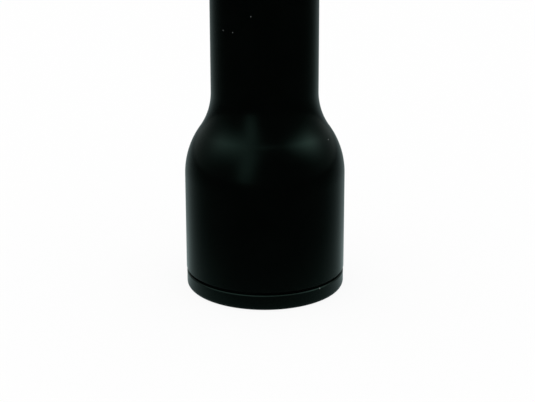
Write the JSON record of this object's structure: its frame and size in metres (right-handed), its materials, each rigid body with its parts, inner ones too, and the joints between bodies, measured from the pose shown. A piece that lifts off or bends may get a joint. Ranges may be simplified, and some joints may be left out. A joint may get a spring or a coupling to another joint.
{
  "type": "telecentric lens",
  "caption": "Bottle-shaped telecentric lens with a wide front head, a slim tube, an adjustable iris with a knurled ring and a threaded camera mount",
  "frame": {"origin": "centre of the front rim, on the optical axis, where the lens stands", "axes": "+Z along the optical axis from the front rim to the camera thread; -Y is the side that faces the picture's camera"},
  "size_m": [0.045, 0.045, 0.136],
  "materials": {
    "black_anodised": "satin black anodised",
    "matt_black": "matt black anodised",
    "front_glass": "polished, coated",
    "relay_glass": "polished, coated",
    "blade_steel": "blackened thin steel",
    "black_steel": "blackened steel"
  },
  "bodies": {
    "lens_body": {"front_ring": "black_anodised", "main_barrel": "black_anodised", "front_retaining_ring": "matt_black", "front_crown_lens": "front_glass", "front_flint_lens": "front_glass", "front_spacer": "matt_black", "front_singlet_lens": "front_glass", "front_baffle": "matt_black", "rear_baffle": "matt_black", "rear_barrel": "black_anodised", "iris_base_plate": "matt_black", "iris_retaining_ring": "matt_black", "relay_cell": "matt_black", "relay_crown_lens": "relay_glass", "relay_flint_lens": "relay_glass", "relay_spacer": "matt_black", "relay_singlet_lens": "relay_glass", "relay_retaining_ring": "matt_black", "camera_mount": "black_anodised", "mount_set_screws": "black_steel"},
    "aperture_ring": {"aperture_ring": "black_anodised", "iris_drive_screw": "black_steel", "iris_cam_ring": "matt_black"},
    "lock_screw": {"lock_screw": "black_steel"},
    "iris_blade_1": {"iris_blade_1": "blade_steel"},
    "iris_blade_2": {"iris_blade_2": "blade_steel"},
    "iris_blade_3": {"iris_blade_3": "blade_steel"},
    "iris_blade_4": {"iris_blade_4": "blade_steel"},
    "iris_blade_5": {"iris_blade_5": "blade_steel"},
    "iris_blade_6": {"iris_blade_6": "blade_steel"}
  },
  "joints": [
    {"name": "aperture_turn", "type": "hinge", "parent": "lens_body", "child": "aperture_ring", "pos_m": [0, 0, 0.101], "axis": [0, 0, 1], "range_deg": [0, 48]},
    {"name": "lock_screw_turn", "type": "hinge", "parent": "aperture_ring", "child": "lock_screw", "pos_m": [0.01594, -0.00427, 0.09895], "axis": [0.9659, -0.2588, 0], "range_deg": [-40, 360]},
    {"name": "blade_1_swing", "type": "hinge", "parent": "lens_body", "child": "iris_blade_1", "pos_m": [0.0088, 0, 0.1005], "axis": [0, 0, 1], "range_deg": [0, 13.8]},
    {"name": "blade_2_swing", "type": "hinge", "parent": "lens_body", "child": "iris_blade_2", "pos_m": [0.0044, 0.00762, 0.1005], "axis": [0, 0, 1], "range_deg": [0, 13.8]},
    {"name": "blade_3_swing", "type": "hinge", "parent": "lens_body", "child": "iris_blade_3", "pos_m": [-0.0044, 0.00762, 0.1005], "axis": [0, 0, 1], "range_deg": [0, 13.8]},
    {"name": "blade_4_swing", "type": "hinge", "parent": "lens_body", "child": "iris_blade_4", "pos_m": [-0.0088, 0, 0.1005], "axis": [0, 0, 1], "range_deg": [0, 13.8]},
    {"name": "blade_5_swing", "type": "hinge", "parent": "lens_body", "child": "iris_blade_5", "pos_m": [-0.0044, -0.00762, 0.1005], "axis": [0, 0, 1], "range_deg": [0, 13.8]},
    {"name": "blade_6_swing", "type": "hinge", "parent": "lens_body", "child": "iris_blade_6", "pos_m": [0.0044, -0.00762, 0.1005], "axis": [0, 0, 1], "range_deg": [0, 13.8]}
  ],
  "couplings": [
    {"joint": "blade_1_swing", "follows": "aperture_turn", "ratio": 0.28553},
    {"joint": "blade_2_swing", "follows": "aperture_turn", "ratio": 0.28553},
    {"joint": "blade_3_swing", "follows": "aperture_turn", "ratio": 0.28553},
    {"joint": "blade_4_swing", "follows": "aperture_turn", "ratio": 0.28553},
    {"joint": "blade_5_swing", "follows": "aperture_turn", "ratio": 0.28553},
    {"joint": "blade_6_swing", "follows": "aperture_turn", "ratio": 0.28553}
  ]
}
